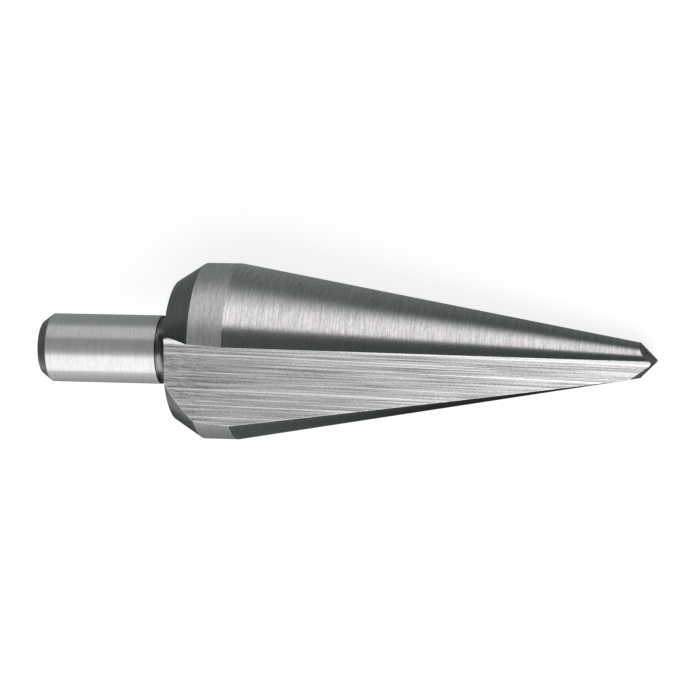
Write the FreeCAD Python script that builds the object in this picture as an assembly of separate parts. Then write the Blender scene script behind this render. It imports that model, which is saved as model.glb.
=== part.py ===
"""Cone drill bit: a straight shank, a short neck and a long conical cutting head with two straight flutes.

The bit is turned and ground from one bar, so it is one solid.
It is drawn along its own axis first: X runs from the shank to the point and is zero at the head's back face,
Y runs across the axis to the widest end of one cutting edge, and Z is the way that edge moves when it cuts.
Each flute has a hooked rake face under its cutting edge, a small round root and one broad flat face, which
ends at the heel of the other land.
Then the bit is laid down as it comes to rest: one flute faces the table, and the bit lies on that flute's
two rims at the widest part of the head and on the lip's outer corner at the point.
Lengths are in millimetres and angles in degrees.
"""

import FreeCAD, Part
import math
import os

from FreeCAD import Matrix, Placement, Rotation, Vector

# Shank
shank_diameter = 8.0
shank_length = 14.3
shank_chamfer_length = 1.2
shank_chamfer_depth = 0.9

# Neck, a run-out for the grinding wheel between the shank and the head
neck_diameter = 7.4
neck_length = 2.1
neck_flat_length = 0.1

# Head
max_diameter = 20.4
back_face_diameter = 16.3
back_bevel_length = 3.25
band_length = 4.0
cone_length = 46.1
shoulder_diameter = 4.0

# Flutes: where the root's sharp corner would be at the head's back face and at the point's shoulder
flute_count = 2
root_out_at_back = 7.84
root_behind_at_back = 1.60
root_out_at_shoulder = 0.54
root_behind_at_shoulder = 0.31
root_radius = 0.85
hook_angle = 18.1
flute_angle = 79.1

# Point: each flank is part of a cone, whose axis stands off the bit's axis so that the flank falls away
# behind its lip. The flanks meet in a short chisel edge, and a facet at each heel thins the web.
point_length = 1.86
flank_half_angle = 44.9
flank_axis_across = 1.22
flank_axis_ahead = 2.22
thinning_out_at_apex = 0.25
thinning_lean = 27.7
thinning_turn = 33.7

# Places along the axis
neck_start = -neck_length
shank_end = neck_start - shank_length
band_start = back_bevel_length
cone_start = band_start + band_length
shoulder = cone_start + cone_length
apex = shoulder + point_length

AXIS = Vector(1, 0, 0)
ORIGIN = Vector(0, 0, 0)
reach = 2 * max_diameter
cone_taper = (max_diameter - shoulder_diameter) / 2 / cone_length
flank_fall = 1 / math.tan(math.radians(flank_half_angle))
flank_cone_tip = apex + flank_fall * math.hypot(flank_axis_across, flank_axis_ahead)


def cone_radius(x):
    """The cone's radius at a place along the axis, also past the shoulder."""
    return max_diameter / 2 - cone_taper * (x - cone_start)


def root_point(x):
    """The sharp corner of a flute's root at a place along the axis."""
    share = x / shoulder
    out = root_out_at_back + share * (root_out_at_shoulder - root_out_at_back)
    behind = root_behind_at_back + share * (root_behind_at_shoulder - root_behind_at_back)
    return Vector(x, out, -behind)


def in_section(angle):
    """A unit direction square to the axis, at an angle from Y towards Z."""
    return Vector(0, math.cos(math.radians(angle)), math.sin(math.radians(angle)))


rake_way = in_section(hook_angle)
face_way = in_section(hook_angle + flute_angle)
root_way = (root_point(shoulder) - root_point(0)).normalize()


def turned_blank():
    """Shank, neck and head as one turned body, with the cone carried on to where the point will be."""
    shank_r = shank_diameter / 2
    neck_r = neck_diameter / 2
    bend = neck_length - neck_flat_length
    corners = [
        Vector(-bend, neck_r, 0),
        Vector(neck_start, neck_r, 0),
        Vector(neck_start, shank_r, 0),
        Vector(shank_end + shank_chamfer_length, shank_r, 0),
        Vector(shank_end, shank_r - shank_chamfer_depth, 0),
        Vector(shank_end, 0, 0),
        Vector(apex, 0, 0),
        Vector(apex, cone_radius(apex), 0),
        Vector(cone_start, max_diameter / 2, 0),
        Vector(band_start, max_diameter / 2, 0),
        Vector(0, back_face_diameter / 2, 0),
        Vector(0, neck_r + bend, 0),
    ]
    edges = [Part.LineSegment(a, b).toShape() for a, b in zip(corners, corners[1:])]
    bend_middle = Vector(-bend, neck_r + bend, 0) + Vector(1, -1, 0) * (bend / math.sqrt(2))
    edges.append(Part.Arc(corners[-1], bend_middle, corners[0]).toShape())
    blank = Part.Face(Part.Wire(edges)).revolve(ORIGIN, AXIS, 360)
    # The seam of the round faces goes where a flute is cut.
    blank.rotate(ORIGIN, AXIS, hook_angle)
    return blank


def square_to_root(way):
    """The direction in one of the flute's faces that stands square to the root line."""
    return (way - root_way * way.dot(root_way)).normalize()


def flute_cutter():
    """The space of one flute: a wedge with a round root, drawn square to the root line."""
    start = root_point(-reach)
    rake = square_to_root(rake_way)
    face = square_to_root(face_way)
    middle = (rake + face).normalize()
    half_angle = rake.getAngle(face) / 2
    tangent = root_radius / math.tan(half_angle)
    deepest = start + middle * (root_radius / math.sin(half_angle) - root_radius)
    edges = [
        Part.LineSegment(start + rake * reach, start + rake * tangent).toShape(),
        Part.Arc(start + rake * tangent, deepest, start + face * tangent).toShape(),
        Part.LineSegment(start + face * tangent, start + face * reach).toShape(),
        Part.LineSegment(start + face * reach, start + rake * reach).toShape(),
    ]
    return Part.Face(Part.Wire(edges)).extrude(root_way * (3 * reach))


def half_space(point, outward):
    """A large block that lies on the outward side of a plane."""
    block = Part.makeBox(reach, 2 * reach, 2 * reach, Vector(0, -reach, -reach))
    block.Placement = Placement(point, Rotation(AXIS, outward))
    return block


def flank_cutter():
    """The space in front of one flank, all round the cone that the flank is part of."""
    depth = shoulder_diameter
    height = flank_cone_tip - apex + depth
    tip = Vector(flank_cone_tip, -flank_axis_across, flank_axis_ahead)
    cone = Part.makeCone(0, height / flank_fall, height, tip, AXIS * -1)
    return half_space(Vector(apex - depth, 0, 0), AXIS).cut(cone)


def thinning_cutter():
    """The space ground off the heel that faces a lip, no further than that lip's rake face."""
    lean = math.tan(math.radians(thinning_lean))
    turn = math.tan(math.radians(thinning_turn))
    ground_off = half_space(Vector(apex, thinning_out_at_apex, 0), Vector(lean, 1, turn))
    return ground_off.common(half_space(root_point(apex), root_way.cross(rake_way)))


def make_bit():
    """The finished bit along its own axis."""
    bit = turned_blank()
    for n in range(flute_count):
        for cutter in (flute_cutter(), flank_cutter(), thinning_cutter()):
            cutter.rotate(ORIGIN, AXIS, 360 / flute_count * n)
            bit = bit.cut(cutter)
    return bit.removeSplitter().Solids[0]


def rim_point(x, radius, way):
    """Where a flute's face, which runs along a way in the section, leaves the round head."""
    corner = root_point(x)
    along = corner.y * way.y + corner.z * way.z
    step = math.sqrt(along**2 - corner.y**2 - corner.z**2 + radius**2) - along
    return corner + way * step


def lip_corner():
    """The outer end of a lip, where its rake face, the cone and its flank meet."""
    x = shoulder
    for _ in range(20):
        corner = rim_point(x, cone_radius(x), rake_way)
        from_axis = math.hypot(corner.y + flank_axis_across, corner.z - flank_axis_ahead)
        x = flank_cone_tip - flank_fall * from_axis
    return corner


def resting_axes():
    """The level axes of the bit as it lies on one flute, with the other flute on top."""
    cutting_rim = rim_point(cone_start, max_diameter / 2, rake_way)
    heel_rim = rim_point(cone_start, max_diameter / 2, face_way)
    outward = (heel_rim - cutting_rim).cross(lip_corner() - cutting_rim).normalize()
    # The flute on the table is half a turn on from the one that these rims belong to.
    up = Vector(-outward.x, outward.y, outward.z)
    ahead = (AXIS - up * up.x).normalize()
    return ahead, up.cross(ahead), up


def lay_down(bit):
    """Turns the bit as it rests and sets its lowest point on the table, centred over the origin."""
    ahead, aside, up = resting_axes()
    turn = Matrix(
        ahead.x, ahead.y, ahead.z, 0,
        aside.x, aside.y, aside.z, 0,
        up.x, up.y, up.z, 0,
        0, 0, 0, 1,
    )
    laid = bit.transformed(turn)
    box = laid.optimalBoundingBox(False)
    laid.translate(Vector(-(box.XMin + box.XMax) / 2, -(box.YMin + box.YMax) / 2, -box.ZMin))
    return laid


os.makedirs("parts", exist_ok=True)
lay_down(make_bit()).exportStep("parts/cone_drill_bit.step")
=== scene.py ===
"""Cone drill bit: the ground and turned steel of the bit, built in mesh code around the fixed frame.

Lengths of the bit are in millimetres in the bit's own frame: X runs from the shank to the point and is zero
at the head's back face, Y runs across the axis to the widest end of one cutting edge, and Z is the way that
edge moves when it cuts. The finished mesh is scaled to metres and turned as the bit lies in the frame.
"""
import math

import bmesh
import bpy
from mathutils import Matrix, Vector, kdtree


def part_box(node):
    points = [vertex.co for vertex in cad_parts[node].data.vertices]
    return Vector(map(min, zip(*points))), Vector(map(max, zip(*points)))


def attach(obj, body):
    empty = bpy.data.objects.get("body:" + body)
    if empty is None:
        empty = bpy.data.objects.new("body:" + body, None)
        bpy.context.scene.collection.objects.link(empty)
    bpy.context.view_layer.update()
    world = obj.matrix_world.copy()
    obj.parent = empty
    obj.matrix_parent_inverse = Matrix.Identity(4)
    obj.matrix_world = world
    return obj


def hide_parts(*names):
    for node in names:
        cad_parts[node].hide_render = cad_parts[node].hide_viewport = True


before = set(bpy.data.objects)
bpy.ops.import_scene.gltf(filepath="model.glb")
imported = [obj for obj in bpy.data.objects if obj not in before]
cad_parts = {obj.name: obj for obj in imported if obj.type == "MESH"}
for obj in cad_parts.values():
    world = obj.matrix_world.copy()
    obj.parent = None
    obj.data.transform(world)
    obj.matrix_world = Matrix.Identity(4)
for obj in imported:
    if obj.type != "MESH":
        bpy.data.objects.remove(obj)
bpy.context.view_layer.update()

NODE = "cone_drill_bit"
MM = 0.001

# Shank and neck
SHANK_R = 4.0
SHANK_LENGTH = 14.3
SHANK_CHAMFER_LENGTH = 1.2
SHANK_CHAMFER_DEPTH = 0.9
NECK_R = 3.7
NECK_LENGTH = 2.1
NECK_FLAT_LENGTH = 0.1
NECK_ROOT_RADIUS = NECK_LENGTH - NECK_FLAT_LENGTH

# Head
MAX_R = 10.2
BACK_FACE_R = 8.15
BACK_BEVEL_LENGTH = 3.25
BAND_LENGTH = 4.0
CONE_LENGTH = 46.1
SHOULDER_R = 2.0

# Flutes
ROOT_OUT_AT_BACK = 7.84
ROOT_BEHIND_AT_BACK = 1.60
ROOT_OUT_AT_SHOULDER = 0.54
ROOT_BEHIND_AT_SHOULDER = 0.31
ROOT_RADIUS = 0.85
HOOK_ANGLE = math.radians(18.1)
FLUTE_ANGLE = math.radians(79.1)

# Point
POINT_LENGTH = 1.86
FLANK_HALF_ANGLE = math.radians(44.9)
FLANK_AXIS_ACROSS = 1.22
FLANK_AXIS_AHEAD = 2.22
THINNING_OUT_AT_APEX = 0.25
THINNING_LEAN = math.radians(27.7)
THINNING_TURN = math.radians(33.7)

# Broken edges
EDGE_BREAK = 0.03
PROFILE_BREAK = 0.05
CHAMFER_BREAK = 0.10
BREAK_STEPS = 3
GROOVE_STEPS = 16

# Places this near to each other are one
TOUCHING = 1e-6
SAME_PLACE = 1e-4

# Places along the axis
NECK_START = -NECK_LENGTH
SHANK_END = NECK_START - SHANK_LENGTH
BAND_START = BACK_BEVEL_LENGTH
CONE_START = BAND_START + BAND_LENGTH
SHOULDER = CONE_START + CONE_LENGTH
APEX = SHOULDER + POINT_LENGTH
BLANK_END = APEX + 0.4

AXIS = Vector((1, 0, 0))
TAPER = (MAX_R - SHOULDER_R) / CONE_LENGTH
FLANK_FALL = 1 / math.tan(FLANK_HALF_ANGLE)
FLANK_TIP_X = APEX + FLANK_FALL * math.hypot(FLANK_AXIS_ACROSS, FLANK_AXIS_AHEAD)
FLANK_TIP = Vector((FLANK_TIP_X, -FLANK_AXIS_ACROSS, FLANK_AXIS_AHEAD))

# Material slots of the mesh
SHANK, NECK, TURNED, BAND, LAND, EDGE, FACE, ROOT, FLANK, FACET = range(10)


# The bit's geometry

def cone_radius(x):
    return MAX_R - TAPER * (x - CONE_START)


def root_point(x):
    share = x / SHOULDER
    out = ROOT_OUT_AT_BACK + share * (ROOT_OUT_AT_SHOULDER - ROOT_OUT_AT_BACK)
    behind = ROOT_BEHIND_AT_BACK + share * (ROOT_BEHIND_AT_SHOULDER - ROOT_BEHIND_AT_BACK)
    return Vector((x, out, -behind))


def in_section(angle):
    return Vector((0, math.cos(angle), math.sin(angle)))


RAKE_WAY = in_section(HOOK_ANGLE)
FACE_WAY = in_section(HOOK_ANGLE + FLUTE_ANGLE)
ROOT_WAY = (root_point(SHOULDER) - root_point(0)).normalized()


def square_to_root(way):
    return (way - ROOT_WAY * way.dot(ROOT_WAY)).normalized()


RAKE_SQUARE = square_to_root(RAKE_WAY)
FACE_SQUARE = square_to_root(FACE_WAY)
HALF_FLUTE = RAKE_SQUARE.angle(FACE_SQUARE) / 2
TO_CENTRE = (RAKE_SQUARE + FACE_SQUARE).normalized() * (ROOT_RADIUS / math.sin(HALF_FLUTE))
TANGENT = ROOT_RADIUS / math.tan(HALF_FLUTE)
RAKE_NORMAL = (TO_CENTRE - RAKE_SQUARE * TANGENT).normalized()
FACE_NORMAL = (TO_CENTRE - FACE_SQUARE * TANGENT).normalized()
ROOT_TURN = RAKE_NORMAL.angle(FACE_NORMAL)


def slide_to(point, x):
    """The same place on a flute's surface, moved along the root line to a section."""
    return point + ROOT_WAY * ((x - point.x) / ROOT_WAY.x)


RAKE_START = (slide_to(RAKE_SQUARE * TANGENT, 0)).length
FACE_START = (slide_to(FACE_SQUARE * TANGENT, 0)).length


def flute_place(x, u):
    """A point of the flute in a section, and its normal.
    u is under 0 on the rake, 0 to 1 in the round root and over 1 on the broad face."""
    if u <= 0:
        return root_point(x) + RAKE_WAY * (RAKE_START - u), RAKE_NORMAL
    if u >= 1:
        return root_point(x) + FACE_WAY * (FACE_START + u - 1), FACE_NORMAL
    turn = math.sin(ROOT_TURN)
    from_rake = RAKE_NORMAL * (math.sin((1 - u) * ROOT_TURN) / turn)
    from_face = FACE_NORMAL * (math.sin(u * ROOT_TURN) / turn)
    normal = from_rake + from_face
    return slide_to(root_point(x) + TO_CENTRE - normal * ROOT_RADIUS, x), normal


def from_axis(point):
    return math.hypot(point.y, point.z)


HALVINGS = 40


def crossing(x, radius, inside, outside):
    """Where the flute's curve in a section leaves a circle, between a u inside it and one outside."""
    for _ in range(HALVINGS):
        middle = (inside + outside) / 2
        if from_axis(flute_place(x, middle)[0]) > radius:
            outside = middle
        else:
            inside = middle
    return inside


def step_along(u, length):
    """A length along the flute's curve as a step of u."""
    return length if u <= 0 or u >= 1 else length / (ROOT_RADIUS * ROOT_TURN)


# How finely each part of a section is divided, and a step of u that is past every rim
RAKE_PARTS, ROOT_PARTS, FACE_PARTS, LAND_PARTS = 4, 10, 20, 72
PAST_RIM = 20


def spread(start, end, parts):
    return [start + (end - start) * n / parts for n in range(parts + 1)]


def half_section(x, radius):
    """Half of a section through the head: one flute, then one land.
    Each entry is a place and its flute normal, which places on the land do without."""
    foot = 1 - FACE_START - root_point(x).dot(FACE_WAY)
    lip = crossing(x, radius, foot, -PAST_RIM)
    heel = crossing(x, radius, foot, PAST_RIM)
    first = lip + step_along(lip, EDGE_BREAK)
    last = heel - step_along(heel, EDGE_BREAK)
    stops = [first, min(max(0, first), last), min(max(1, first), last), last]
    values = spread(stops[0], stops[1], RAKE_PARTS)
    values += spread(stops[1], stops[2], ROOT_PARTS)[1:]
    values += spread(stops[2], stops[3], FACE_PARTS)[1:]
    flute = [flute_place(x, u) for u in values]
    lip_angle = math.atan2(*reversed(flute_place(x, lip)[0][1:]))
    heel_angle = math.atan2(*reversed(flute_place(x, heel)[0][1:]))
    land_start = heel_angle + EDGE_BREAK / radius
    land_end = lip_angle + math.pi - EDGE_BREAK / radius
    land = [(in_section(a) * radius + AXIS * x, None) for a in spread(land_start, land_end, LAND_PARTS)]
    lip_corner = flute_place(x, lip)[0]
    heel_corner = flute_place(x, heel)[0]
    before_lip = in_section(lip_angle - EDGE_BREAK / radius) * radius + AXIS * x
    lip_middle = (before_lip + lip_corner * 2 + flute[0][0]) / 4
    heel_middle = (flute[-1][0] + heel_corner * 2 + land[0][0]) / 4
    return [(lip_middle, flute[0][1])] + flute + [(heel_middle, flute[-1][1])] + land


HALF = 1 + RAKE_PARTS + ROOT_PARTS + FACE_PARTS + 1 + 1 + LAND_PARTS + 1


def part_of(j):
    """What the strip of faces after the j-th point of a half section shows."""
    if j < 1:
        return EDGE
    if j < 1 + RAKE_PARTS + ROOT_PARTS:
        return ROOT
    if j < 1 + RAKE_PARTS + ROOT_PARTS + FACE_PARTS:
        return FACE
    if j < 3 + RAKE_PARTS + ROOT_PARTS + FACE_PARTS or j == HALF - 1:
        return EDGE
    return LAND


def rounded_profile():
    """The outline of the turned blank as rings.
    Each is a place along the axis, a radius, a normal and the material slot of what follows."""
    # Place, radius, how far the corner is rounded, parts up to the next corner, slot from here on
    corners = [
        (SHANK_END, 0, 0, 1, TURNED),
        (SHANK_END, SHANK_R - SHANK_CHAMFER_DEPTH, CHAMFER_BREAK, 1, TURNED),
        (SHANK_END + SHANK_CHAMFER_LENGTH, SHANK_R, CHAMFER_BREAK, 4, SHANK),
        (NECK_START, SHANK_R, PROFILE_BREAK, 1, NECK),
        (NECK_START, NECK_R, PROFILE_BREAK, 1, NECK),
        (0, NECK_R, NECK_ROOT_RADIUS, 2, NECK),
        (0, BACK_FACE_R, PROFILE_BREAK, 14, TURNED),
        (BAND_START, MAX_R, PROFILE_BREAK, 6, BAND),
        (CONE_START, MAX_R, PROFILE_BREAK, 56, LAND),
        (BLANK_END, cone_radius(BLANK_END), 0, 1, LAND),
    ]
    rings = []
    for n in range(1, len(corners)):
        x, r, breaking, parts, slot = corners[n]
        before = Vector((x - corners[n - 1][0], r - corners[n - 1][1])).normalized()
        into = Vector((-before.y, before.x))
        if n == len(corners) - 1:
            rings.append((x, r, into, slot))
            break
        after = Vector((corners[n + 1][0] - x, corners[n + 1][1] - r)).normalized()
        out = Vector((-after.y, after.x))
        turn = before.cross(after)
        bend = abs(before.angle(after))
        tangent = breaking * math.tan(bend / 2)
        start = Vector((x, r)) - before * tangent
        side = 1 if turn < 0 else -1
        centre = start - into * (breaking * side)
        steps = BREAK_STEPS if breaking < NECK_ROOT_RADIUS else GROOVE_STEPS
        for k in range(steps + 1):
            normal = into * math.sin(bend * (1 - k / steps)) + out * math.sin(bend * k / steps)
            normal.normalize()
            place = centre + normal * (breaking * side)
            rings.append((place.x, place.y, normal, slot))
        end = Vector(rings[-1][:2])
        following = corners[n + 1]
        ahead = Vector(following[:2])
        for k in range(1, parts):
            place = end.lerp(ahead, k / parts)
            rings.append((place.x, place.y, out, slot))
    return rings


def blank_mesh():
    """The turned and fluted blank, a little longer than the point, with a normal for each of its places."""
    rings = rounded_profile()
    bm = bmesh.new()
    places, normals, edge_normals = [], [], []
    on_head = (i for i, (x, r, _, _) in enumerate(rings) if x > -TOUCHING and r > BACK_FACE_R - 1)
    first_head = next(on_head)
    half = half_section(0, rings[first_head][1])
    angles = [math.atan2(p.z, p.y) for p, _ in half]
    angles += [a + math.pi for a in angles]
    table = []
    for i, (x, r, normal, slot) in enumerate(rings):
        row = []
        if i < first_head:
            for a in angles:
                row.append(bm.verts.new(in_section(a) * r + AXIS * x))
                places.append(row[-1].co.copy())
                normals.append(AXIS * normal.x + in_section(a) * normal.y)
                edge_normals.append(normals[-1])
        else:
            entries = half_section(x, r)
            for turn in (1, -1):
                for j, (place, flute_normal) in enumerate(entries):
                    row.append(bm.verts.new((place.x, place.y * turn, place.z * turn)))
                    places.append(row[-1].co.copy())
                    radial = in_section(math.atan2(place.z * turn, place.y * turn))
                    normals.append(AXIS * normal.x + radial * normal.y)
                    if flute_normal is None:
                        edge_normals.append(normals[-1])
                    else:
                        turned = Vector((flute_normal.x, flute_normal.y * turn, flute_normal.z * turn))
                        middle = j == 0 or part_of(j - 1) == part_of(j) == EDGE
                        edge_normals.append((turned + normals[-1]).normalized() if middle else turned)
        table.append(row)
    count = 2 * HALF
    for i in range(len(rings) - 1):
        for j in range(count):
            a, b = table[i][j], table[i][(j + 1) % count]
            c, d = table[i + 1][(j + 1) % count], table[i + 1][j]
            face = bm.faces.new((a, b, c, d))
            face.material_index = rings[i][3]
            if i >= first_head and part_of(j % HALF) != LAND:
                face.material_index = part_of(j % HALF)
    bm.faces.new(list(reversed(table[0]))).material_index = TURNED
    bm.faces.new(table[-1]).material_index = LAND
    bmesh.ops.remove_doubles(bm, verts=bm.verts, dist=TOUCHING)
    bmesh.ops.dissolve_degenerate(bm, edges=bm.edges, dist=TOUCHING)
    bmesh.ops.recalc_face_normals(bm, faces=bm.faces)
    tree = kdtree.KDTree(len(places))
    for n, place in enumerate(places):
        tree.insert(place, n)
    tree.balance()
    return bm, tree, normals, edge_normals


def mesh_object(name, bm):
    """An object of a mesh, with a stand-in material in each slot for the cuts to keep apart."""
    mesh = bpy.data.meshes.new(name)
    bm.to_mesh(mesh)
    bm.free()
    for slot in range(FACET + 1):
        stand_in = f"slot_{slot}"
        mesh.materials.append(bpy.data.materials.get(stand_in) or bpy.data.materials.new(stand_in))
    obj = bpy.data.objects.new(name, mesh)
    bpy.context.scene.collection.objects.link(obj)
    return obj


def flank_space(turn):
    """What is ground away in front of one flank: everything round the cone that the flank is part of."""
    bm = bmesh.new()
    around = 288
    base = APEX - 2 * SHOULDER_R
    top = FLANK_TIP.x + 1
    wide = MAX_R
    near = (FLANK_TIP.x - base) / FLANK_FALL
    rings = []
    for x, r in ((base, near), (base, wide), (top, wide)):
        centre = Vector((x, FLANK_TIP.y * turn, FLANK_TIP.z * turn))
        rings.append([bm.verts.new(centre + in_section(math.tau * n / around) * r) for n in range(around)])
    tip = bm.verts.new((FLANK_TIP.x, FLANK_TIP.y * turn, FLANK_TIP.z * turn))
    for n in range(around):
        m = (n + 1) % around
        bm.faces.new((tip, rings[0][n], rings[0][m]))
        bm.faces.new((rings[0][n], rings[1][n], rings[1][m], rings[0][m]))
        bm.faces.new((rings[1][n], rings[2][n], rings[2][m], rings[1][m]))
    bm.faces.new(rings[2])
    bmesh.ops.recalc_face_normals(bm, faces=bm.faces)
    for face in bm.faces:
        face.material_index = FLANK
    return bm


THINNING_NORMAL = Vector((math.tan(THINNING_LEAN), 1, math.tan(THINNING_TURN))).normalized()


def thinning_space(turn):
    """What is ground off the heel that faces one lip: a wedge between the facet and that lip's rake."""
    clear_of_rake = 0.003
    edge = THINNING_NORMAL.cross(RAKE_NORMAL).normalized()
    on_facet = Vector((APEX, THINNING_OUT_AT_APEX, 0)).dot(THINNING_NORMAL)
    on_rake = root_point(APEX).dot(RAKE_NORMAL) + clear_of_rake
    planes = Matrix((THINNING_NORMAL, RAKE_NORMAL, edge))
    start = planes.inverted() @ Vector((on_facet, on_rake, edge.x * APEX))
    facet_way = edge.cross(THINNING_NORMAL)
    if facet_way.dot(RAKE_NORMAL) < 0:
        facet_way.negate()
    rake_way = edge.cross(RAKE_NORMAL)
    if rake_way.dot(THINNING_NORMAL) < 0:
        rake_way.negate()
    bm = bmesh.new()
    ends = []
    for side in (-1, 1):
        corner = start + edge * (side * MAX_R)
        places = (corner, corner + facet_way * MAX_R, corner + rake_way * MAX_R)
        ends.append([bm.verts.new(place) for place in places])
    for n in range(3):
        m = (n + 1) % 3
        bm.faces.new((ends[0][n], ends[0][m], ends[1][m], ends[1][n]))
    bm.faces.new(ends[0])
    bm.faces.new(list(reversed(ends[1])))
    if turn < 0:
        bmesh.ops.rotate(bm, verts=bm.verts, matrix=Matrix.Rotation(math.pi, 3, "X"))
    bmesh.ops.recalc_face_normals(bm, faces=bm.faces)
    for face in bm.faces:
        face.material_index = FACET
    return bm


def cut(obj, bm):
    """Cuts a closed mesh out of an object and applies the result."""
    cutter = mesh_object("cutter", bm)
    modifier = obj.modifiers.new("cut", "BOOLEAN")
    modifier.operation = "DIFFERENCE"
    modifier.solver = "EXACT"
    modifier.object = cutter
    bpy.context.view_layer.update()
    evaluated = obj.evaluated_get(bpy.context.evaluated_depsgraph_get())
    result = bpy.data.meshes.new_from_object(evaluated)
    obj.modifiers.clear()
    old = obj.data
    obj.data = result
    bpy.data.meshes.remove(old)
    old = cutter.data
    bpy.data.objects.remove(cutter)
    bpy.data.meshes.remove(old)


def flute_normal_at(place):
    """The normal of the nearer flute's surface at a place on it."""
    turn = 1 if place.y > 0 else -1
    away = Vector((place.x, place.y * turn, place.z * turn)) - root_point(place.x) - TO_CENTRE
    away -= ROOT_WAY * away.dot(ROOT_WAY)
    on_rake = (away + RAKE_NORMAL * ROOT_RADIUS).dot(RAKE_SQUARE) > 0
    on_face = (away + FACE_NORMAL * ROOT_RADIUS).dot(FACE_SQUARE) > 0
    if on_rake and abs(away.dot(RAKE_NORMAL) + ROOT_RADIUS) < abs(away.dot(FACE_NORMAL) + ROOT_RADIUS):
        normal = RAKE_NORMAL
    elif on_face:
        normal = FACE_NORMAL
    else:
        normal = -away.normalized()
    return Vector((normal.x, normal.y * turn, normal.z * turn))


def flank_normal_at(place):
    """The normal of the flank that a place lies on."""
    best = None
    for turn in (1, -1):
        away = Vector((0, place.y - FLANK_TIP.y * turn, place.z - FLANK_TIP.z * turn))
        off = abs(place.x + FLANK_FALL * away.length - FLANK_TIP.x)
        if best is None or off < best[0]:
            best = (off, (AXIS + away.normalized() * FLANK_FALL).normalized())
    return best[1]


def true_normals(mesh, tree, normals, edge_normals):
    """The exact surface normal for each corner of each face."""
    result = []
    cone_lean = math.atan(TAPER)
    for face in mesh.polygons:
        for index in face.vertices:
            place = mesh.vertices[index].co
            _, n, off = tree.find(place)
            known = off < SAME_PLACE
            kind = face.material_index
            if kind in (FACE, ROOT):
                normal = flute_normal_at(place)
            elif kind == FLANK:
                normal = flank_normal_at(place)
            elif kind == FACET:
                turn = 1 if face.center.y > 0 else -1
                normal = Vector((THINNING_NORMAL.x, THINNING_NORMAL.y * turn, THINNING_NORMAL.z * turn))
            elif kind == EDGE:
                normal = edge_normals[n] if known else face.normal.copy()
            elif known:
                normal = normals[n]
            else:
                radial = in_section(math.atan2(place.z, place.y))
                normal = AXIS * math.sin(cone_lean) + radial * math.cos(cone_lean)
            result.append(normal.normalized())
    return result


# Where the bit lies

def rim_point(x, radius, way):
    corner = root_point(x)
    along = corner.y * way.y + corner.z * way.z
    step = math.sqrt(along**2 - corner.y**2 - corner.z**2 + radius**2) - along
    return corner + way * step


def lip_corner():
    x = SHOULDER
    for _ in range(20):
        corner = rim_point(x, cone_radius(x), RAKE_WAY)
        off_axis = math.hypot(corner.y - FLANK_TIP.y, corner.z - FLANK_TIP.z)
        x = FLANK_TIP.x - FLANK_FALL * off_axis
    return corner


def resting_turn():
    """The turn from the bit's own frame to the frame in which it lies on one flute."""
    cutting_rim = rim_point(CONE_START, MAX_R, RAKE_WAY)
    heel_rim = rim_point(CONE_START, MAX_R, FACE_WAY)
    outward = (heel_rim - cutting_rim).cross(lip_corner() - cutting_rim).normalized()
    up = Vector((-outward.x, outward.y, outward.z))
    ahead = (AXIS - up * up.x).normalized()
    return Matrix((ahead, up.cross(ahead), up))


def resting_place(mesh):
    """The place of the bit's own frame, in metres, that seats a mesh in millimetres in the frame's box."""
    turn = resting_turn()
    low, high = (Vector(corner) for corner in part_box(NODE))
    turned = [turn @ vertex.co * MM for vertex in mesh.vertices]
    lowest = Vector([min(v[n] for v in turned) for n in range(3)])
    highest = Vector([max(v[n] for v in turned) for n in range(3)])
    shift = (low + high - lowest - highest) / 2
    shift.z = low.z - lowest.z
    return Matrix.Translation(shift) @ turn.to_4x4()


# Steel. Each finish is drawn in the bit's own frame, in millimetres.

def new_material(name):
    made = bpy.data.materials.new(name)
    made.use_nodes = True
    made.node_tree.nodes.clear()
    return made


def add(tree, kind, inputs=None, **settings):
    """The first output of a new node, with its inputs set or linked by name or number."""
    node = tree.nodes.new(kind)
    for key, value in settings.items():
        setattr(node, key, value)
    for key, value in (inputs or {}).items():
        if isinstance(value, bpy.types.NodeSocket):
            tree.links.new(value, node.inputs[key])
        else:
            node.inputs[key].default_value = value
    return node.outputs[0] if node.outputs else node


def place_on_bit(tree, bit_place):
    """The place in the bit's own frame, in millimetres."""
    coordinates = tree.nodes.new("ShaderNodeTexCoord")
    return add(tree, "ShaderNodeMapping", {
        "Vector": coordinates.outputs["Object"],
        "Location": bit_place.to_translation(),
        "Rotation": bit_place.to_euler(),
        "Scale": (MM, MM, MM),
    }, vector_type="TEXTURE")


def distance_along(tree, place, way):
    node = tree.nodes.new("ShaderNodeVectorMath")
    node.operation = "DOT_PRODUCT"
    tree.links.new(place, node.inputs[0])
    node.inputs[1].default_value = way
    return node.outputs["Value"]


def noise(tree, place, per_mm, detail=2.0, roughness=0.55, shift=0.0):
    """Noise with some features to the millimetre in each direction."""
    vector = add(tree, "ShaderNodeVectorMath", {
        0: place, 1: per_mm, 2: (shift, shift, shift),
    }, operation="MULTIPLY_ADD")
    return add(tree, "ShaderNodeTexNoise", {
        "Vector": vector, "Scale": 1.0, "Detail": detail, "Roughness": roughness,
    })


def ranged(tree, value, from_low, from_high, low, high):
    return add(tree, "ShaderNodeMapRange", {0: value, 1: from_low, 2: from_high, 3: low, 4: high})


def total(tree, *values):
    result = values[0]
    for value in values[1:]:
        result = add(tree, "ShaderNodeMath", {0: result, 1: value}, operation="ADD")
    return result


def product(tree, value, factor):
    return add(tree, "ShaderNodeMath", {0: value, 1: factor}, operation="MULTIPLY")


def weighted(tree, *pairs):
    return total(tree, *(product(tree, value, share) for value, share in pairs))


def fixed_way(tree, bit_place, way):
    turned = bit_place.to_3x3() @ way
    return add(tree, "ShaderNodeCombineXYZ", {0: turned.x, 1: turned.y, 2: turned.z})


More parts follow.
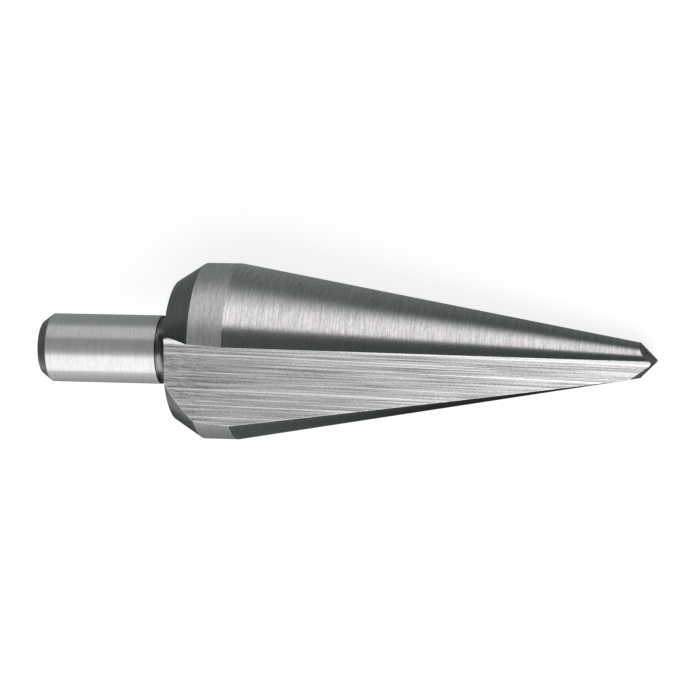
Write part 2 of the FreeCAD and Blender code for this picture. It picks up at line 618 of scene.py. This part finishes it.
def finish(tree, grain, dark, light, rough, rough_way, anisotropy, bump, metal=1.0):
    """Steel with a grain of 0 to 1 in its colour, gloss and height.
    rough_way is the direction in which the finish is roughest."""
    colour = tree.nodes.new("ShaderNodeMix")
    colour.data_type = "RGBA"
    tree.links.new(grain, colour.inputs[0])
    colour.inputs[6].default_value = (*dark, 1)
    colour.inputs[7].default_value = (*light, 1)
    add(tree, "ShaderNodeOutputMaterial", {"Surface": add(tree, "ShaderNodeBsdfPrincipled", {
        "Base Color": colour.outputs[2],
        "Roughness": ranged(tree, grain, 0, 1, rough[1], rough[0]),
        "Normal": add(tree, "ShaderNodeBump", {"Strength": 1.0, "Distance": bump * MM, "Height": grain}),
        "Tangent": rough_way,
        "Metallic": metal,
        "Anisotropic": anisotropy,
    })})


def round_ground(name, bit_place, dark, light, rough, anisotropy=0.8, contrast=1.0, bump=0.001, metal=1.0):
    """Ground on centres: fine lines that run round the axis."""
    made = new_material(name)
    tree = made.node_tree
    place = place_on_bit(tree, bit_place)
    fine = noise(tree, place, (9.0, 0.35, 0.35))
    uneven = noise(tree, place, (2.0, 0.06, 0.06), detail=1.0, shift=7.0)
    speckle = noise(tree, place, (7.5, 1.8, 1.8), detail=1.0, shift=5.0)
    mixed = weighted(tree, (fine, 0.62), (uneven, 0.06), (speckle, 0.32))
    half_range = 0.5 / contrast
    grain = ranged(tree, mixed, 0.5 - half_range, 0.5 + half_range, 0, 1)
    finish(tree, grain, dark, light, rough, fixed_way(tree, bit_place, AXIS), anisotropy, bump, metal)
    return made


def flute_ground(name, bit_place, dark, light, rough, anisotropy=0.8, bump=0.003):
    """Ground along the flute: streaks that run with the root, with a painted highlight beside it on the
    broad face, and crossed by short dashes near the back. Each flute has its own streaks."""
    made = new_material(name)
    tree = made.node_tree
    place = place_on_bit(tree, bit_place)
    apart = tree.nodes.new("ShaderNodeSeparateXYZ")
    tree.links.new(place, apart.inputs[0])
    side = add(tree, "ShaderNodeMath", {0: apart.outputs[1]}, operation="SIGN")
    turn = add(tree, "ShaderNodeCombineXYZ", {0: 1.0, 1: side, 2: side})
    own_place = add(tree, "ShaderNodeVectorMath", {0: place, 1: turn}, operation="MULTIPLY")
    ways = (ROOT_WAY, FACE_SQUARE, ROOT_WAY.cross(FACE_SQUARE))
    along, across, depth = (distance_along(tree, own_place, way) for way in ways)
    ground = add(tree, "ShaderNodeCombineXYZ", {0: along, 1: across, 2: depth})
    own_shift = add(tree, "ShaderNodeCombineXYZ", {0: side})
    ground = add(tree, "ShaderNodeVectorMath", {0: ground, 1: own_shift}, operation="ADD")
    fine = noise(tree, ground, (0.09, 6.5, 6.5))
    broad = noise(tree, ground, (0.05, 2.2, 2.2), shift=3.0)
    speckle = noise(tree, ground, (3.5, 8.0, 8.0), detail=1.0, shift=5.0)
    scratch = ranged(tree, noise(tree, ground, (0.02, 4.5, 4.5), detail=0.0, shift=11.0), 0.68, 0.74, 0, 1)
    # A painted highlight on the broad face next to the root, below the rake, strongest mid-way along the
    # flute and fading to a slight painted shade towards the point.
    root = root_point(0).dot(FACE_SQUARE)
    near_root = ranged(tree, across, root, root + 1.1, 1, 0)
    up_rake = distance_along(tree, own_place, RAKE_SQUARE)
    rake_start = root_point(0).dot(RAKE_SQUARE) + TANGENT
    off_rake = ranged(tree, up_rake, rake_start, rake_start + 0.6, 1, -0.2)
    highlight_fade = ranged(tree, along, 24, 40, 0.34, -0.12)
    painted_root_highlight = product(tree, product(tree, near_root, highlight_fade), off_rake)
    dash = ranged(tree, noise(tree, ground, (0.7, 4.5, 4.5), detail=1.0, shift=17.0), 0.5, 0.6, 0, 1)
    by_back = ranged(tree, along, 1.0, 5.0, -0.10, 0)
    dashes = product(tree, dash, by_back)
    lines = weighted(tree, (fine, 0.64), (broad, 0.10), (speckle, 0.26), (scratch, 0.25))
    grain = ranged(tree, total(tree, lines, painted_root_highlight, dashes), 0.36, 0.71, 0, 1)
    square = bit_place.to_3x3()
    over = square @ Vector((FACE_SQUARE.x, 0, 0))
    aside = square @ Vector((0, FACE_SQUARE.y, FACE_SQUARE.z))
    sides = add(tree, "ShaderNodeCombineXYZ", {0: side, 1: side, 2: side})
    rough_way = add(tree, "ShaderNodeVectorMath", {0: sides, 1: aside, 2: over}, operation="MULTIPLY_ADD")
    finish(tree, grain, dark, light, rough, rough_way, anisotropy, bump)
    return made


def off_hand_ground(name, bit_place, dark, light, rough):
    """The small faces of the point, with a short uneven grain."""
    made = new_material(name)
    tree = made.node_tree
    place = place_on_bit(tree, bit_place)
    grain = ranged(tree, noise(tree, place, (4.0, 4.0, 4.0), detail=3.0), 0.40, 0.60, 0, 1)
    finish(tree, grain, dark, light, rough, fixed_way(tree, bit_place, AXIS), 0.0, 0.006)
    return made


def steels(bit_place):
    """One finish for each material slot, in the slots' order."""
    dark, light = (0.44, 0.44, 0.44), (0.69, 0.69, 0.69)
    shank_dark, shank_light = (0.61, 0.61, 0.61), (0.78, 0.78, 0.78)
    band_dark, band_light = (0.50, 0.50, 0.50), (0.80, 0.80, 0.80)
    neck_dark, neck_light = (0.17, 0.175, 0.175), (0.26, 0.265, 0.265)
    turned_dark, turned_light = (0.19, 0.20, 0.20), (0.28, 0.29, 0.29)
    flank_dark, flank_light = (0.15, 0.15, 0.15), (0.48, 0.48, 0.48)
    facet_dark, facet_light = (0.08, 0.08, 0.08), (0.26, 0.26, 0.26)
    return [
        round_ground("ground_shank", bit_place, shank_dark, shank_light, (0.30, 0.36), 0.8, 3.2, metal=0.57),
        round_ground("neck", bit_place, neck_dark, neck_light, (0.25, 0.31), anisotropy=0.3),
        round_ground("turned", bit_place, turned_dark, turned_light, (0.30, 0.38), 0.5, 3.0),
        round_ground("ground_band", bit_place, band_dark, band_light, (0.40, 0.46), 0.5, 3.2, metal=0.85),
        round_ground("ground_land", bit_place, dark, light, (0.25, 0.31), 0.74, 4.0),
        round_ground("broken_edge", bit_place, dark, light, (0.25, 0.35), anisotropy=0.0),
        flute_ground("flute_face", bit_place, (0.26, 0.26, 0.26), (0.92, 0.92, 0.92), (0.34, 0.40), 0.93),
        flute_ground("flute_root", bit_place, (0.40, 0.40, 0.40), (0.86, 0.86, 0.86), (0.34, 0.40), 0.8),
        off_hand_ground("flank", bit_place, flank_dark, flank_light, (0.35, 0.5)),
        off_hand_ground("thinning_facet", bit_place, facet_dark, facet_light, (0.3, 0.4)),
    ]


def build_bit():
    """The bit's mesh, seated in the frame, and the place of the bit's own frame."""
    bm, tree, normals, edge_normals = blank_mesh()
    bit = mesh_object("bit", bm)
    for turn in (1, -1):
        cut(bit, flank_space(turn))
        cut(bit, thinning_space(turn))
    mesh = bit.data
    for face in mesh.polygons:
        face.use_smooth = True
    exact = true_normals(mesh, tree, normals, edge_normals)
    bit_place = resting_place(mesh)
    turn = bit_place.to_3x3()
    mesh.transform(bit_place @ Matrix.Scale(MM, 4))
    mesh.normals_split_custom_set([turn @ normal for normal in exact])
    slots = [face.material_index for face in mesh.polygons]
    mesh.materials.clear()
    for material in steels(bit_place):
        mesh.materials.append(material)
    mesh.polygons.foreach_set("material_index", slots)
    return bit, bit_place


# The camera, in the bit's own frame

CAMERA_AT = Vector((71.352, 273.924, 0.0))
CAMERA_AIM = Vector((20.057, 0.0, -0.441))
CAMERA_UP = Vector((-0.02203, 0.0055, -0.99974))
LENS = 124.74
SENSOR = 36.0


def place_camera(bit_place):
    data = bpy.data.cameras.new("camera")
    data.lens = LENS
    data.sensor_width = SENSOR
    data.clip_start = 0.01
    camera = bpy.data.objects.new("camera", data)
    bpy.context.scene.collection.objects.link(camera)
    back = (CAMERA_AT - CAMERA_AIM).normalized()
    right = CAMERA_UP.cross(back).normalized()
    up = back.cross(right)
    view = Matrix((right, up, back)).transposed().to_4x4()
    view.translation = CAMERA_AT * MM
    camera.matrix_world = bit_place @ view
    bpy.context.scene.camera = camera


# Floor and light

def stage_object(name, places, faces, material):
    mesh = bpy.data.meshes.new(name)
    mesh.from_pydata(places, [], faces)
    mesh.materials.append(material)
    obj = bpy.data.objects.new(name, mesh)
    bpy.context.scene.collection.objects.link(obj)
    return obj


def place_floor():
    """A pale floor. What sees it sees its own brightness on top of the lamps' light."""
    reach = 6.0
    shade, glow = 0.28, 0.84
    made = new_material("floor")
    tree = made.node_tree
    path = tree.nodes.new("ShaderNodeLightPath")
    rays = ("Is Camera Ray", "Is Glossy Ray", "Is Transmission Ray")
    seen = total(tree, *(path.outputs[ray] for ray in rays))
    shader = add(tree, "ShaderNodeAddShader", {
        0: add(tree, "ShaderNodeBsdfDiffuse", {"Color": (shade, shade, shade, 1)}),
        1: add(tree, "ShaderNodeEmission", {
            "Color": (1, 1, 1, 1),
            "Strength": product(tree, seen, glow),
        }),
    })
    add(tree, "ShaderNodeOutputMaterial", {"Surface": shader})
    corners = [(-reach, -reach, 0), (reach, -reach, 0), (reach, reach, 0), (-reach, reach, 0)]
    stage_object("floor", corners, [(0, 1, 2, 3)], made)


def place_reflection_card(name, rows, shares, darks):
    """A studio card beside the bit, seen only in its reflections, that glows with a painted shade: a painted
    reflection of dark surroundings.
    It gives the ground steel its dark edges. Each row of places has its own dark, and shares tell how much
    of it shows at each place of a row."""
    made = new_material(name)
    tree = made.node_tree
    # The card glows with its painted shade; no lamp lights it.
    shade = add(tree, "ShaderNodeVertexColor", layer_name="shade")
    add(tree, "ShaderNodeOutputMaterial", {"Surface": add(tree, "ShaderNodeEmission", {"Color": shade})})
    wide = len(shares)
    places = [place for row in rows for place in row]
    starts = [row * wide + column for row in range(len(rows) - 1) for column in range(wide - 1)]
    card = stage_object(name, places, [(k, k + 1, k + wide + 1, k + wide) for k in starts], made)
    shades = card.data.color_attributes.new("shade", "FLOAT_COLOR", "POINT")
    for k in range(len(places)):
        dark, share = darks[k // wide], shares[k % wide]
        shades.data[k].color = (*(1 - share * (1 - part) for part in dark), 1)
    card.visible_camera = False
    card.visible_diffuse = False
    card.visible_transmission = False
    card.visible_shadow = False


def place_reflection_cards():
    # The cards paint dark reflections in the steel: darkest beside the bit, fading to the floor's white
    # further out.
    lift = 0.0001
    tint = Vector((0.88, 1.0, 1.03))
    # How much of the card's dark shows at each distance beside the bit
    wide = [
        (0, 0.90), (0.010, 0.93), (0.018, 0.98), (0.023, 0.97), (0.028, 0.90), (0.034, 0.78),
        (0.041, 0.60), (0.052, 0.42), (0.072, 0.26), (0.110, 0.09), (0.148, 0),
    ]
    # Place along the bit, how wide the card is there, and its dark
    stations = [
        (-0.3, 4.0, 0.16), (-0.09, 2.2, 0.19), (-0.04, 1.15, 0.215), (-0.012, 1, 0.19),
        (0.006, 0.86, 0.14), (0.020, 0.55, 0.10), (0.050, 0.14, 0.09),
    ]
    rows = [[(x, y * scale, lift) for y, _ in wide] for x, scale, _ in stations]
    place_reflection_card("reflection_card_far", rows, [share for _, share in wide], [tint * dark for _, _, dark in stations])
    near_side, riser = -0.15, 0.05
    stations = [(-0.09, 0.125), (-0.012, 0.10), (-0.003, 0.07), (0.006, 0.03), (0.05, 0.01)]
    rows = [[(x, 0, lift), (x, near_side, lift), (x, near_side, riser)] for x, _ in stations]
    place_reflection_card("reflection_card_near", rows, [1, 1, 1], [tint * dark for _, dark in stations])


LAMP_DISTANCE = 2.0
LAMP_WHITE = (1.0, 0.985, 0.975)


def softbox(name, bit_place, around, along, brightness, colour=LAMP_WHITE, turn=0):
    """A softbox that faces the bit. around and along are the angles that it spans as the bit sees it:
    around the axis from the line of sight towards the picture's top, and along the axis towards the point.
    turn is how far it is turned in its own plane."""
    angle = math.radians(sum(around) / 2)
    lean = math.radians(sum(along) / 2)
    way = Vector((math.sin(lean), math.cos(angle) * math.cos(lean), -math.sin(angle) * math.cos(lean)))
    size = [2 * LAMP_DISTANCE * math.tan(math.radians(span[1] - span[0]) / 2) for span in (along, around)]
    data = bpy.data.lights.new(name, "AREA")
    data.shape = "RECTANGLE"
    data.size, data.size_y = size
    data.energy = brightness * math.pi * size[0] * size[1]
    data.color = colour
    lamp = bpy.data.objects.new(name, data)
    bpy.context.scene.collection.objects.link(lamp)
    aside = (AXIS - way * AXIS.dot(way)).normalized()
    aside.rotate(Matrix.Rotation(math.radians(turn), 3, way))
    view = Matrix((aside, way.cross(aside), way)).transposed().to_4x4()
    view.translation = CAMERA_AIM * MM + way * LAMP_DISTANCE
    lamp.matrix_world = bit_place @ view
    lamp.visible_camera = False


def place_world(colour):
    world = bpy.data.worlds.new("world")
    world.use_nodes = True
    world.node_tree.nodes["Background"].inputs[0].default_value = (*colour, 1)
    bpy.context.scene.world = world


bit, bit_place = build_bit()
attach(bit, "root")
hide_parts(NODE)
place_camera(bit_place)
place_floor()
place_reflection_cards()
softbox("softbox_over", bit_place, (-85, -26), (-45, -5), 1.55)
softbox("softbox_head", bit_place, (-113, -26), (-5, 9), 1.56)
softbox("softbox_ahead", bit_place, (-110, -13), (9, 24), 3.5)
softbox("softbox_low", bit_place, (32.5, 66), (-17, 50), 1.30, (1.0, 0.96, 0.95), turn=4)
softbox("softbox_fill", bit_place, (-20, 28), (-50, 2), 0.115, (0.90, 1.0, 1.03))
softbox("softbox_rear", bit_place, (-105, -37), (-60, -30), 0.5)
softbox("softbox_front", bit_place, (-35, 45), (56, 76), 0.5)
place_world((0.039, 0.047, 0.050))
bpy.context.scene.view_settings.view_transform = "Standard"
bpy.context.view_layer.update()
